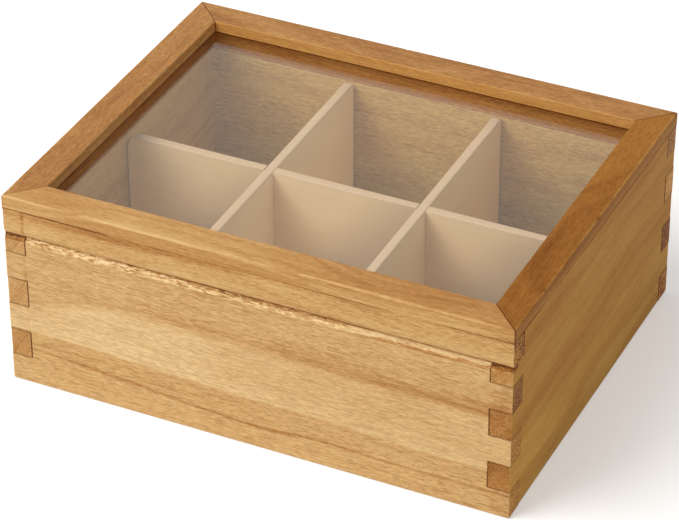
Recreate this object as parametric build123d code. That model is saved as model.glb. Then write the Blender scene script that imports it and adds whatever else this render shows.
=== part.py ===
from build123d import *

import os

# Millimetres. The box stands on z = 0 with its front towards -Y, and the origin is under the middle
# of its walls. The lid is closed.

# Walls and lid
width = 220.0  # outside, left to right
depth = 172.5  # outside, front to back
wall = 9.5  # thickness of every board and lid strip
body_height = 71.2  # floor to the seam under the lid
strip_height = 11.3  # lid strips, seam to mitred frame
frame_height = 6.2  # mitred frame on top of the strips
frame_width = 13.5
finger_pitch = 12.5  # height of one finger of the box joints

# Eased edges
rim_bevel_height = 2.5  # finger grip along the front of the rim
rim_bevel_depth = 1.2
lid_bevel_height = 1.6  # the same under the front of the lid
lid_bevel_depth = 0.7
frame_arris = 0.6  # outer top edge of the mitred frame

# Bottom panel, let into a rebate from below
panel_thickness = 4.0
panel_rebate = 5.0
panel_gap = 0.3  # panel edge to rebate wall

# Glass, caught between a rebate in the strips and one under the mitred frame
glass_thickness = 2.0
glass_in_frame = 0.9  # how much of its thickness is let into the frame
glass_rebate = 4.0
glass_gap = 0.4  # glass edge to rebate wall

# Dividers
divider_thickness = 4.2
divider_drop = 0.2  # rim to divider top
divider_end_gap = 0.4
long_divider_corner = 6.0  # radius of the upper corners
short_divider_corner = 1.5
divider_edge = 0.8  # radius along the upper edges
lap_gap = 0.1  # all round a divider in its notch

# Hinges
hinge_length = 25.0
hinge_inset = 45.0  # side of the box to the middle of a hinge
leaf_width = 8.0  # let into the rim, from the back face
leaf_thickness = 1.0
leaf_gap = 0.1  # leaf edge to recess wall
knuckle_radius = 1.6
knuckle_count = 5
knuckle_gap = 0.1  # between neighbouring knuckles
barrel_gap = 0.15  # knuckles to whatever they turn past
pin_radius = 0.8
pin_gap = 0.05
pin_head_radius = 1.2
pin_head_thickness = 0.4
stop_angle = 95.0  # the lid's travel
stop_spare = 1.0  # degrees left between the stop lips at full travel
stop_lip = 2.4  # reach of the stop lips past the knuckles

# Screws
screw_spacing = 15.0
screw_length = 8.0
screw_tip = 2.5
screw_radius = 0.9
screw_gap = 0.05
head_radius = 1.8
head_recess = 0.1  # head below the leaf's face
cross_length = 2.4  # cross recess in the head
cross_width = 0.5
cross_depth = 0.4

# Planes that the pieces share
left = -width / 2
right = width / 2
front = -depth / 2
back = depth / 2
inner_left = left + wall
inner_right = right - wall
inner_front = front + wall
inner_back = back - wall
strip_top = body_height + strip_height
lid_top = strip_top + frame_height
glass_top = strip_top + glass_in_frame
glass_z = (glass_top - glass_thickness, glass_top)
divider_top = body_height - divider_drop
lap_height = (panel_thickness + divider_top) / 2
compartment_width = (inner_right - inner_left - 2 * divider_thickness) / 3
short_divider_x = (compartment_width + divider_thickness) / 2
hinge_x = right - hinge_inset
hinge_y = back + barrel_gap + knuckle_radius

parts = {}


def block(x_span, y_span, z_span):
    """A box between three pairs of planes."""
    spans = (x_span, y_span, z_span)
    size = [high - low for low, high in spans]
    middle = [(high + low) / 2 for low, high in spans]
    return Pos(*middle) * Box(*size)


def front_bevel(depth_in, height):
    """A wedge along the front of the seam, upwards or, where height is negative, downwards."""
    corners = [(front, body_height), (front, body_height + height), (front + depth_in, body_height)]
    section = make_face(Polyline(*[(left, y, z) for y, z in corners], close=True))
    return extrude(section, amount=width, dir=(1, 0, 0))


def rod(x_span, radius):
    """A round bar along the X axis."""
    middle = (x_span[0] + x_span[1]) / 2
    return Pos(middle, 0, 0) * Rot(0, 90, 0) * Cylinder(radius, x_span[1] - x_span[0])


# Walls: long boards take the fingers at the floor, side boards fill the gaps between them


def finger_spans(first):
    """Heights of every other finger, counted from the floor and cut off at the seam."""
    spans = []
    low = first * finger_pitch
    while low < body_height:
        spans.append((low, min(low + finger_pitch, body_height)))
        low += 2 * finger_pitch
    return spans


def long_board(y_span):
    board = block((inner_left, inner_right), y_span, (0, body_height))
    for z_span in finger_spans(0):
        board += block((left, right), y_span, z_span)
    return board


def side_board(x_span):
    board = block(x_span, (inner_front, inner_back), (0, body_height))
    for z_span in finger_spans(1):
        board += block(x_span, (front, back), z_span)
    return board


rim_bevel = front_bevel(rim_bevel_depth, -rim_bevel_height)
panel_space = block(
    (inner_left - panel_rebate, inner_right + panel_rebate),
    (inner_front - panel_rebate, inner_back + panel_rebate),
    (0, panel_thickness),
)
for name, board in {
    "front_board": long_board((front, inner_front)),
    "back_board": long_board((inner_back, back)),
    "left_board": side_board((left, inner_left)),
    "right_board": side_board((inner_right, right)),
}.items():
    parts[name] = board - rim_bevel - panel_space

panel_margin = panel_rebate - panel_gap
parts["bottom_panel"] = block(
    (inner_left - panel_margin, inner_right + panel_margin),
    (inner_front - panel_margin, inner_back + panel_margin),
    (0, panel_thickness),
)


# Dividers: crossed plates that stand on the panel, halved where they cross


def divider(length, corner):
    """An upright plate along X about x = 0, its upper corners rounded and its upper edges eased."""
    y_span = (-divider_thickness / 2, divider_thickness / 2)
    plate = block((-length / 2, length / 2), y_span, (panel_thickness, divider_top))
    plate = fillet(plate.edges().filter_by(Axis.Y).group_by(Axis.Z)[-1], corner)
    return fillet(plate.edges().filter_by(Axis.X).group_by(Axis.Z)[-1], divider_edge)


lap_half = divider_thickness / 2 + lap_gap
across = (-divider_thickness, divider_thickness)
long_divider = divider(inner_right - inner_left - 2 * divider_end_gap, long_divider_corner)
for name, x in (("short_divider_left", -short_divider_x), ("short_divider_right", short_divider_x)):
    upper_notch = block((x - lap_half, x + lap_half), across, (lap_height - lap_gap, body_height))
    long_divider -= upper_notch
    plate = divider(inner_back - inner_front - 2 * divider_end_gap, short_divider_corner)
    lower_notch = block((-lap_half, lap_half), across, (0, lap_height + lap_gap))
    parts[name] = Pos(x, 0, 0) * Rot(0, 0, 90) * (plate - lower_notch)
parts["long_divider"] = long_divider


# Lid: four strips, a mitred frame on them and the glass between the two

lid_bevel = front_bevel(lid_bevel_depth, lid_bevel_height)
glass_space = block(
    (inner_left - glass_rebate, inner_right + glass_rebate),
    (inner_front - glass_rebate, inner_back + glass_rebate),
    glass_z,
)
strip_z = (body_height, strip_top)
for name, strip in {
    "lid_front_strip": block((left, right), (front, inner_front), strip_z),
    "lid_back_strip": block((left, right), (inner_back, back), strip_z),
    "lid_left_strip": block((left, inner_left), (inner_front, inner_back), strip_z),
    "lid_right_strip": block((inner_right, right), (inner_front, inner_back), strip_z),
}.items():
    parts[name] = strip - lid_bevel - glass_space

glass_margin = glass_rebate - glass_gap
parts["glass_pane"] = block(
    (inner_left - glass_margin, inner_right + glass_margin),
    (inner_front - glass_margin, inner_back + glass_margin),
    glass_z,
)

frame_block = block((left, right), (front, back), (strip_top, lid_top))
frame_block = chamfer(frame_block.faces().sort_by(Axis.Z)[-1].edges(), frame_arris)
frame_block -= block(
    (left + frame_width, right - frame_width),
    (front + frame_width, back - frame_width),
    (strip_top, lid_top),
)
frame_block -= glass_space
outer_corners = [(left, front), (right, front), (right, back), (left, back)]
inner_corners = [
    (left + frame_width, front + frame_width),
    (right - frame_width, front + frame_width),
    (right - frame_width, back - frame_width),
    (left + frame_width, back - frame_width),
]
for index, name in enumerate(("front", "right", "back", "left")):
    following = (index + 1) % len(outer_corners)
    outline = Polyline(
        outer_corners[index],
        outer_corners[following],
        inner_corners[following],
        inner_corners[index],
        close=True,
    )
    sector = Pos(0, 0, strip_top) * extrude(make_face(outline), amount=frame_height)
    parts["top_frame_" + name] = frame_block & sector


# Hinges: each leaf is drawn about a hinge axis along X through the origin


def knuckle_cells(first):
    """Spans along X of every other knuckle."""
    pitch = hinge_length / knuckle_count
    start = -hinge_length / 2
    return [(start + n * pitch, start + (n + 1) * pitch) for n in range(first, knuckle_count, 2)]


def screw_form(gap):
    """A countersunk screw pointing down from a leaf's face at z = 0; gap widens it into its hole."""
    outline = Polyline(
        (0, 0, -head_recess),
        (head_radius + gap, 0, -head_recess),
        (screw_radius + gap, 0, -leaf_thickness),
        (screw_radius + gap, 0, screw_tip - screw_length),
        (0, 0, -screw_length - gap),
        close=True,
    )
    return revolve(make_face(outline), Axis.Z)


def leaf(first, side):
    """One leaf with its screw holes; side is -1 for the box and 1 for the lid."""
    whole = (-hinge_length / 2, hinge_length / 2)
    thick = sorted((0, side * leaf_thickness))
    half_stop = (stop_angle + stop_spare) / 2
    body = block(whole, (leaf_gap - hinge_y + back - leaf_width, 0), thick)
    body += Rot(side * half_stop, 0, 0) * block(whole, (0, knuckle_radius + stop_lip), thick)
    for low, high in knuckle_cells(first):
        body += rod((low + knuckle_gap / 2, high - knuckle_gap / 2), knuckle_radius)
    for cell in knuckle_cells(1 - first):
        body -= rod(cell, knuckle_radius + barrel_gap)
    return body - rod(whole, pin_radius + pin_gap)


pin = rod((-hinge_length / 2, hinge_length / 2), pin_radius)
for end in (-1, 1):
    head_span = sorted((end * hinge_length / 2, end * (hinge_length / 2 + pin_head_thickness)))
    pin += rod(head_span, pin_head_radius)

cross = block(
    (-cross_length / 2, cross_length / 2),
    (-cross_width / 2, cross_width / 2),
    (-head_recess - cross_depth, 0),
)
screw = screw_form(0) - cross - Rot(0, 0, 90) * cross
screw_hole = screw_form(screw_gap) + Pos(0, 0, -head_recess / 2) * Cylinder(head_radius + screw_gap, head_recess)

for body_name, side, turn, carrier, first in (
    ("box", -1, 0, "back_board", 0),
    ("lid", 1, 180, "lid_back_strip", 1),
):
    recess_half = hinge_length / 2 + leaf_gap
    recess_z = sorted((body_height, body_height + side * leaf_thickness))
    screws = []
    for hinge_name, x in (("hinge_left", -hinge_x), ("hinge_right", hinge_x)):
        parts[carrier] -= block((x - recess_half, x + recess_half), (back - leaf_width, back), recess_z)
        plate = Pos(x, hinge_y, body_height) * leaf(first, side)
        for screw_x in (x - screw_spacing / 2, x + screw_spacing / 2):
            place = Pos(screw_x, back - leaf_width / 2, body_height) * Rot(turn, 0, 0)
            parts[carrier] -= place * screw_hole
            plate -= place * screw_hole
            screws.append(place * screw)
        parts[f"{hinge_name}_{body_name}_leaf"] = plate
    parts[f"{body_name}_hinge_screws"] = Compound(children=screws)

for hinge_name, x in (("hinge_left", -hinge_x), ("hinge_right", hinge_x)):
    parts[f"{hinge_name}_pin"] = Pos(x, hinge_y, body_height) * pin


os.makedirs("parts", exist_ok=True)
for name, piece in parts.items():
    export_step(piece, f"parts/{name}.step")
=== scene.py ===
import math

import bpy
import numpy as np
from mathutils import Matrix, Vector


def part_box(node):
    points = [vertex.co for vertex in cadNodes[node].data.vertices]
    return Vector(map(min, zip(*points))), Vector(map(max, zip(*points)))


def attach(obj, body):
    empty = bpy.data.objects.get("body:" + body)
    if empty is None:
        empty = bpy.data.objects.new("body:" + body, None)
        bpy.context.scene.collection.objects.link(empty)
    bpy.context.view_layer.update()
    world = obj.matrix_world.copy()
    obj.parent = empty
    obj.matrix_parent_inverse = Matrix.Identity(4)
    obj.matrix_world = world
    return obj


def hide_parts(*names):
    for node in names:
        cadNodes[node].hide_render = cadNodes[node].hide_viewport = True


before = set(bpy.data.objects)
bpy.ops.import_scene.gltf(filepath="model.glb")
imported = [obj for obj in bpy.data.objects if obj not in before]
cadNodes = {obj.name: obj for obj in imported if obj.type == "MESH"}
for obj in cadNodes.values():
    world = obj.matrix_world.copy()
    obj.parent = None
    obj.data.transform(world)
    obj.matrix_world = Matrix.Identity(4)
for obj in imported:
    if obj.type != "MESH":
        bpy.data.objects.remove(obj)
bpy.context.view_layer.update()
print("frame loaded:", len(cadNodes), "nodes")

# Everything below is drawn in millimetres and scaled to metres as a mesh is made.
perMetre = 1000.0
farAway = 1e5


# Lowest and highest corner of a CAD node, in millimetres.
def nodeBox(node):
    low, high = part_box(node)
    return np.array(low) * perMetre, np.array(high) * perMetre


left, front, floorLevel = nodeBox("front_board")[0]
right, innerFront, rim = nodeBox("front_board")[1]
innerLeft = nodeBox("left_board")[1][0]
innerRight = nodeBox("right_board")[0][0]
innerBack, back = nodeBox("back_board")[0][1], nodeBox("back_board")[1][1]
stripTop = nodeBox("lid_left_strip")[1][2]
lidTop = nodeBox("top_frame_front")[1][2]
glassLow, glassHigh = nodeBox("glass_pane")[0][2], nodeBox("glass_pane")[1][2]


# Node helpers. A value is a number or the output of another node, and the new node goes into its tree.


# Colour as written, 0 to 255, to the linear values that a socket takes.
def linear(colour):
    values = np.array(colour, float) / 255
    return tuple(np.where(values <= 0.04045, values / 12.92, ((values + 0.055) / 1.055) ** 2.4)) + (1.0,)


# Sets or links a node's inputs, given by name or number.
def plug(node, sockets):
    for name, value in sockets.items():
        if isinstance(value, bpy.types.NodeSocket):
            node.id_data.links.new(value, node.inputs[name])
        else:
            node.inputs[name].default_value = value


# A new node of the kind, with its inputs and settings.
def put(tree, kind, sockets=None, **settings):
    node = tree.nodes.new(kind)
    for name, value in settings.items():
        setattr(node, name, value)
    plug(node, sockets or {})
    return node


# One of Blender's maths operations, by its name there.
def maths(operation, *values, clamp=False):
    tree = next(value.id_data for value in values if isinstance(value, bpy.types.NodeSocket))
    sockets = dict(enumerate(values))
    return put(tree, "ShaderNodeMath", sockets, operation=operation, use_clamp=clamp).outputs[0]


# Operations on two or more values, taken from left to right.
def chain(operation, first, *others):
    for other in others:
        first = maths(operation, first, other)
    return first


def plus(*values):
    return chain("ADD", *values)


def minus(*values):
    return chain("SUBTRACT", *values)


def times(*values):
    return chain("MULTIPLY", *values)


def largest(*values):
    return chain("MAXIMUM", *values)


def absolute(value):
    return maths("ABSOLUTE", value)


# value * factor + base
def timesPlus(value, factor, base):
    return maths("MULTIPLY_ADD", value, factor, base)


# base + weight * (value - 0.5)
def weigh(value, weight, base):
    return timesPlus(minus(value, 0.5), weight, base)


# 0 at low and 1 at high, smooth between and level past them; low may be the higher of the two.
def between(value, low, high):
    sockets = {"Value": value, "From Min": low, "From Max": high}
    return put(value.id_data, "ShaderNodeMapRange", sockets, interpolation_type="SMOOTHSTEP").outputs[0]


def combine(x, y, z):
    return put(x.id_data, "ShaderNodeCombineXYZ", {0: x, 1: y, 2: z}).outputs[0]


def axesOf(vector):
    return put(vector.id_data, "ShaderNodeSeparateXYZ", {0: vector}).outputs


def scaleBy(vector, factor):
    sockets = {0: vector, "Scale": factor}
    return put(vector.id_data, "ShaderNodeVectorMath", sockets, operation="SCALE").outputs[0]


# Fractal noise of the place, stretched by the given cycles per millimetre along each axis.
def noise(place, cycles, seed, detail=2.0, roughness=0.5):
    shift = (seed * 17.3, seed * 5.9, seed * 31.7)
    sockets = {"Vector": place, "Location": shift, "Scale": cycles}
    mapped = put(place.id_data, "ShaderNodeMapping", sockets).outputs[0]
    sockets = {"Vector": mapped, "Scale": 1.0, "Detail": detail, "Roughness": roughness}
    return put(place.id_data, "ShaderNodeTexNoise", sockets, noise_dimensions="3D").outputs[0]


# Fractal noise of one number, such as a ring's radius.
def noiseLine(value, seed, detail=2.0):
    sockets = {"W": plus(value, seed * 23.1), "Scale": 1.0, "Detail": detail}
    return put(value.id_data, "ShaderNodeTexNoise", sockets, noise_dimensions="1D").outputs[0]


# Colour along a line of (position, colour) stops.
def ramp(value, stops):
    node = put(value.id_data, "ShaderNodeValToRGB", {"Fac": value})
    elements = node.color_ramp.elements
    while len(elements) < len(stops):
        elements.new(0.5)
    for element, (position, colour) in zip(elements, stops):
        element.position = position
        element.color = linear(colour)
    return node.outputs["Color"]


# A smooth curve through (value, result) points, held level past its ends, or one number throughout.
def curve(value, points, span=(-120.0, 120.0), top=100.0):
    if isinstance(points, (int, float)):
        return points
    share = maths("DIVIDE", minus(value, span[0]), span[1] - span[0], clamp=True)
    node = put(value.id_data, "ShaderNodeFloatCurve", {"Value": share})
    line = node.mapping.curves[0]
    placed = [((x - span[0]) / (span[1] - span[0]), y / top) for x, y in points]
    placed = [(0.0, placed[0][1])] + placed + [(1.0, placed[-1][1])]
    while len(line.points) < len(placed):
        line.points.new(0.5, 0.5)
    for point, (x, y) in zip(line.points, placed):
        point.location = (x, y)
    node.mapping.update()
    return times(node.outputs[0], top)


# The colour multiplied by another, as far as the share says.
def tint(colour, other, share):
    sockets = {0: share, 6: colour, 7: linear(other)}
    return put(colour.id_data, "ShaderNodeMix", sockets, data_type="RGBA", blend_type="MULTIPLY").outputs[2]


# A new material with its shader, the place in millimetres and the normal.
def startMaterial(name):
    material = bpy.data.materials.new(name)
    material.use_nodes = True
    tree = material.node_tree
    tree.nodes.clear()
    shader = put(tree, "ShaderNodeBsdfPrincipled")
    put(tree, "ShaderNodeOutputMaterial", {"Surface": shader.outputs[0]})
    place = put(tree, "ShaderNodeTexCoord").outputs
    return material, shader, scaleBy(place["Object"], perMetre), place["Normal"]


# Bump of a height, up to the given depth in metres.
def bumpOf(height, strength, depth):
    sockets = {"Height": height, "Strength": strength, "Distance": depth}
    return put(height.id_data, "ShaderNodeBump", sockets).outputs[0]


# Camera, lamp, sky and floor.

camera = {
    "place": (0.46780, -0.99144, 0.77326),
    "looksAlong": (-0.35606, 0.74978, -0.55774),
    "rollDegrees": -0.167,
    "lens": 170.0,
    "farLimit": 20.0,
}
studio = {
    "keyDirection": (-0.45, -0.45, 0.77),  # from the box towards the lamp
    "keyDistance": 2.4,
    "keySize": 1.6,
    "keyPower": 42.0,
    "skyStrength": 0.45,
    "skyColour": (1.0, 0.99, 0.97),
    "floorColour": (0.90, 0.90, 0.895),
    "floorGlow": 0.3,  # added for the eye and for reflections, so that the open floor is white
    "floorReach": 3.0,
    "floorDrop": 0.0002,  # just under the box, so that the two surfaces don't flicker
}


def addItem(name, data):
    item = bpy.data.objects.new(name, data)
    bpy.context.scene.collection.objects.link(item)
    return item


# The camera stands upright as it looks along its direction, and then rolls by the given angle.
def addCamera(settings):
    data = bpy.data.cameras.new("camera")
    data.lens = settings["lens"]
    data.clip_end = settings["farLimit"]
    item = addItem("camera", data)
    aim = Vector(settings["looksAlong"]).to_track_quat("-Z", "Y").to_matrix().to_4x4()
    roll = Matrix.Rotation(math.radians(settings["rollDegrees"]), 4, "Z")
    item.matrix_world = Matrix.Translation(settings["place"]) @ aim @ roll
    bpy.context.scene.camera = item


# A square lamp that faces the box.
def addKeyLamp(settings):
    towards = Vector(settings["keyDirection"]).normalized()
    data = bpy.data.lights.new("keyLamp", "AREA")
    data.shape = "SQUARE"
    data.size = settings["keySize"]
    data.energy = settings["keyPower"]
    item = addItem("keyLamp", data)
    item.location = towards * settings["keyDistance"]
    item.rotation_euler = towards.to_track_quat("Z", "Y").to_euler()


# 1 for rays that come from the eye, straight or by way of a reflection or the glass.
def seenRay(tree):
    path = put(tree, "ShaderNodeLightPath").outputs
    return largest(path["Is Camera Ray"], path["Is Glossy Ray"], path["Is Transmission Ray"])


# White to the eye and in reflections, soft sky light to everything else.
def addSky(settings):
    world = bpy.data.worlds.new("sky")
    bpy.context.scene.world = world
    world.use_nodes = True
    tree = world.node_tree
    tree.nodes.clear()
    white = put(tree, "ShaderNodeBackground", {"Color": (1, 1, 1, 1)})
    soft = {"Color": (*settings["skyColour"], 1), "Strength": settings["skyStrength"]}
    soft = put(tree, "ShaderNodeBackground", soft)
    mix = put(tree, "ShaderNodeMixShader", {0: seenRay(tree), 1: soft.outputs[0], 2: white.outputs[0]})
    put(tree, "ShaderNodeOutputWorld", {"Surface": mix.outputs[0]})


# A pale floor that keeps the box's shadow.
def addFloor(settings):
    reach = settings["floorReach"]
    data = bpy.data.meshes.new("floor")
    corners = [(-reach, -reach, 0), (reach, -reach, 0), (reach, reach, 0), (-reach, reach, 0)]
    data.from_pydata(corners, [], [(0, 1, 2, 3)])
    item = addItem("floor", data)
    item.location.z = -settings["floorDrop"]
    material = bpy.data.materials.new("paleFloor")
    material.use_nodes = True
    tree = material.node_tree
    sockets = {
        "Base Color": (*settings["floorColour"], 1),
        "Roughness": 0.9,
        "Specular IOR Level": 0.0,
        "Emission Color": (1, 1, 1, 1),
        "Emission Strength": times(seenRay(tree), settings["floorGlow"]),
    }
    plug(tree.nodes["Principled BSDF"], sockets)
    data.materials.append(material)


addCamera(camera)
addKeyLamp(studio)
addSky(studio)
addFloor(studio)
bpy.context.scene.view_settings.view_transform = "Standard"
print("camera, lamp, sky and floor are in place")


# Oiled hardwood.

hardwood = {
    "palette": [
        (0.00, (88, 46, 18)),
        (0.18, (134, 82, 36)),
        (0.34, (180, 126, 68)),
        (0.50, (210, 167, 109)),
        (0.64, (221, 184, 129)),
        (0.80, (230, 197, 143)),
        (1.00, (239, 208, 156)),
    ],
    "ringDrift": (0.007, 0.016),  # cycles per millimetre along the grain and across it, here and below
    "streak": (0.012, 0.32),
    "thread": (0.04, 1.3),
    "fibre": (0.36, 2.5),
    "blotch": (0.03, 0.06),
    "dash": (0.09, 1.9),
    "pore": (0.10, 2.0),
    "fineRings": 0.55,  # cycles per millimetre of ring radius
    "dashEdge": (0.48, 0.64),  # noise where a dash starts and where it is full
    "poreEdge": (0.60, 0.72),
    "endFacing": (0.62, 0.78),  # share of the normal along the grain: not end grain yet, end grain
    "innerFacing": (-0.5, -0.8),  # the same outwards, for faces that look into the box
    "topFacing": (0.95, 0.8),
    "endBlend": (-20.0, 20.0),  # where one end's look gives way to the other's
    "fibreShade": 1.04,  # brightness of the colour between two fibres
    "threadRough": 0.2,
    "endRough": 0.12,
    "glueAndShadeRough": 0.4,
    "relief": 0.35,  # strength of the bump
    "reliefDepth": 0.00012,  # metres
    "glueAndShadeDepth": 0.62,  # how much darker the wood's tone is in glue lines and in lines of painted shade
    "dashColour": (214, 190, 158),  # multiplies the wood under a dash
    "cornerHighlight": 0.9,  # width of the painted highlight along an upright corner
    "fingerPitch": 12.5,
}

# What every board starts from. Its own dictionary changes what differs.
plainLook = {
    "tone": 0.0,
    "slope": 0.01,
    "drift": 24.0,
    "ringCycles": 0.11,
    "broad": 0.16,
    "fine": 0.16,
    "streak": 0.10,
    "thread": 0.12,
    "blotch": 0.12,
    "pore": 0.05,
    "dash": 0.44,
    "fibre": 0.75,
    "endDark": 0.12,  # one number, or (height, darkness) points
    "endSpeckle": (0.45, 0.45),  # at the left or front end, and at the other
    "endGrit": (1.4, 1.4, 1.4),
    "outsideTintAndShade": (255, 255, 255),
    "endWash": (255, 255, 255),
    # painted shade: a tint on faces that look into the box, for the dimmer light inside it
    "innerShadeTint": (255, 255, 255),
    # painted light: a lighter tone on faces that look into the box
    "innerLightTone": 0.0,
    # painted shade for faces that look into the box, darker downwards and to the right in each compartment
    "paintedShade": None,
    "layers": (),
    "joints": None,
    "glueAndShadeStrength": 0.75,
    "smudge": 0.0,
    "mitreLines": (),
    # painted highlight along the frame's top edges and the boards' upright corners
    "arris": 0.12,
    "torn": None,
    "rough": 0.42,
    "specular": 0.2,
}


# Painted shade: a share that grows in a straight line downwards and to the right in each compartment,
# standing in for the shadow deeper in it.
def paintedShadeShare(x, z, colours):
    leftPost, rightPost = nodeBox("short_divider_left"), nodeBox("short_divider_right")
    pitch = rightPost[1][0] - leftPost[1][0]
    bays = maths("DIVIDE", minus(x, rightPost[1][0]), pitch)
    across = times(maths("FRACT", bays), pitch)
    (startHeight, startAcross), (downSlope, acrossSlope) = colours["shadeStart"], colours["shadeSlope"]
    down = times(minus(startHeight, z), downSlope)
    sideways = timesPlus(x, colours["shadeDrift"], times(minus(across, startAcross), acrossSlope))
    return between(plus(down, sideways), -0.15, 1.15)


# Distance of a point from the pith line, pushed about by the slow drift and tilted along the board.
def ringRadius(along, across, z, drift, look):
    pithUp, pithIn = look["pith"]
    rise, inward = minus(z, pithUp), minus(across, pithIn)
    radius = maths("SQRT", timesPlus(rise, rise, times(inward, inward)))
    return timesPlus(along, look["slope"], weigh(drift, look["drift"], radius))


# Adds a layer's sign times its amount where the height lies between its low and high curves. Each
# curve is a list of (place along the board, value) points or one number, and soft is half the width of
# its two edges.
def addLayer(tone, layer, along, height, fibre):
    lowSoft, highSoft = layer["soft"]
    overLow = minus(height, curve(along, layer["low"]))
    underHigh = minus(curve(along, layer["high"]), height)
    overLow, underHigh = between(overLow, -lowSoft, lowSoft), between(underHigh, -highSoft, highSoft)
    amount = weigh(fibre, layer.get("speckle", 0.0), 1.0)
    amount = times(amount, curve(along, layer["amount"], top=1.0))
    return timesPlus(times(times(overLow, underHigh), amount), layer["sign"], tone)


# Tone of the wood at a point: growth rings about a far pith, stretched streaks, and the layers that a
# board's own dictionary places one by one. Fibres and dashes then shade the colour.
def woodMaterial(name, own):
    look = {**plainLook, **own}
    material, shader, place, normal = startMaterial(name)
    x, y, z = axesOf(place)
    nx, ny, nz = axesOf(normal)
    along, across, facing, sideways = (x, y, nx, ny) if look["grain"] == "x" else (y, x, ny, nx)
    seed = look["seed"]
    grainPlace = combine(along, z, across)

    def grain(pattern, step, detail=2.0, roughness=0.5):
        alongGrain, acrossGrain = hardwood[pattern]
        return noise(grainPlace, (alongGrain, acrossGrain, acrossGrain), seed + step, detail, roughness)

    streak = grain("streak", 1, 3.0, 0.55)
    thread = grain("thread", 2, 3.0, 0.6)
    fibre = grain("fibre", 3, 2.0, 0.6)
    blotch = grain("blotch", 4)
    dash = between(grain("dash", 9), *hardwood["dashEdge"])
    radius = ringRadius(along, across, z, grain("ringDrift", 0, 1.0), look)
    broadRing = noiseLine(times(radius, look["ringCycles"]), seed, 1.0)
    fineRing = noiseLine(times(radius, hardwood["fineRings"]), seed + 5, 3.0)
    tone = look["tone"] + 0.5
    parts = {"broad": broadRing, "fine": fineRing, "streak": streak, "thread": thread, "blotch": blotch}
    for part, value in parts.items():
        tone = weigh(value, look[part], tone)

    # how far up the board, counted on over the top edge of a frame member, with a ragged edge
    height = z
    if look["mitreLines"]:
        fromEdge = minus(back if look["grain"] == "x" else right, absolute(across))
        height = plus(minus(z, stripTop), fromEdge)
    ragged = weigh(thread, 1.6, weigh(streak, 2.2, height))
    for layer in look["layers"]:
        tone = addLayer(tone, layer, along, ragged, fibre)

    # pores: short dark dashes along the grain
    pore = between(grain("pore", 6, 1.0), *hardwood["poreEdge"])
    tone = timesPlus(pore, -look["pore"], tone)

    innerFace = between(times(sideways, maths("SIGN", across)), *hardwood["innerFacing"])
    # Painted light: faces that look into the box take a lighter tone than the outer faces.
    tone = timesPlus(innerFace, look["innerLightTone"], tone)

    # end grain is darker and speckled
    endFace = between(absolute(facing), *hardwood["endFacing"])
    farEnd = between(along, *hardwood["endBlend"])
    nearSpeckle, farSpeckle = look["endSpeckle"]
    speckle = minus(noise(place, look["endGrit"], seed + 7, 2.0, 0.7), 0.5)
    amount = timesPlus(farEnd, farSpeckle - nearSpeckle, nearSpeckle)
    endTone = minus(times(speckle, amount), curve(z, look["endDark"], (0.0, 90.0), 1.0))
    tone = timesPlus(endFace, endTone, tone)

    tone = weigh(fibre, look["fibre"] * 0.5, tone)
    shade = weigh(fibre, look["fibre"], hardwood["fibreShade"])
    if look["joints"]:
        glueAndShade = glueAndSeamShadeLines((x, y, z), (nx, ny), thread, look)
    else:
        # Painted shade: a dark line on the inner faces just above the glass, where the frame meets it.
        glassLine = times(between(z, glassHigh + 0.55, glassHigh + 0.3), times(innerFace, 0.85))
        glueAndShade = largest(mitreGlue((x, y, z), thread, look["mitreLines"]), glassLine)
        # Painted highlight along the frame's outer top edge, in patches.
        pastArris = minus(plus(fromEdge, lidTop), z)
        arrisHighlight = times(between(pastArris, 0.9, 0.6), between(blotch, 0.35, 0.55))
        tone = timesPlus(arrisHighlight, look["arris"], tone)
    if look["torn"]:
        # Torn band along the rim, with a line of painted shade under the seam.
        tone, seam = tornEdge(place, (x, y, z), nz, tone, look["torn"], seed)
        glueAndShade = largest(glueAndShade, seam)
    if look["joints"] == "fingers":
        # Painted highlight along the upright outside corners.
        wearAndHighlight = hardwood["cornerHighlight"]
        cornerX = between(absolute(x), right - wearAndHighlight, right - 0.4)
        cornerY = between(absolute(y), back - wearAndHighlight, back - 0.4)
        tone = timesPlus(times(cornerX, cornerY, look["arris"]), streak, tone)

    colour = ramp(timesPlus(glueAndShade, -hardwood["glueAndShadeDepth"], tone), hardwood["palette"])
    colour = tint(colour, hardwood["dashColour"], times(dash, look["dash"]))
    # The outside tint is the piece's own colour, and on the right board it is also painted shade on its outer
    # face.
    outside = maths("SUBTRACT", minus(1.0, endFace), innerFace, clamp=True)
    if look["joints"]:
        outside = times(outside, between(absolute(nz), *hardwood["topFacing"]))
    colour = tint(colour, look["outsideTintAndShade"], outside)
    colour = tint(colour, look["endWash"], times(endFace, farEnd))
    # Painted shade: faces that look into the box take a tint of their own, for the dimmer light inside it.
    colour = tint(colour, look["innerShadeTint"], innerFace)
    # Painted shade on the inner faces, darker downwards and to the right in each compartment.
    if look["paintedShade"]:
        colour = tint(colour, look["paintedShade"], times(paintedShadeShare(x, z, look), innerFace))
    rough = timesPlus(thread, hardwood["threadRough"], look["rough"])
    rough = timesPlus(endFace, hardwood["endRough"], rough)
    relief = timesPlus(fibre, 0.6, times(dash, -0.5))
    relief = timesPlus(thread, 0.5, relief)
    sockets = {
        "Base Color": scaleBy(colour, shade),
        "Roughness": maths("MULTIPLY_ADD", glueAndShade, hardwood["glueAndShadeRough"], rough, clamp=True),
        "Specular IOR Level": look["specular"],
        "Normal": bumpOf(relief, hardwood["relief"], hardwood["reliefDepth"]),
    }
    plug(shader, sockets)
    return material


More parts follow.
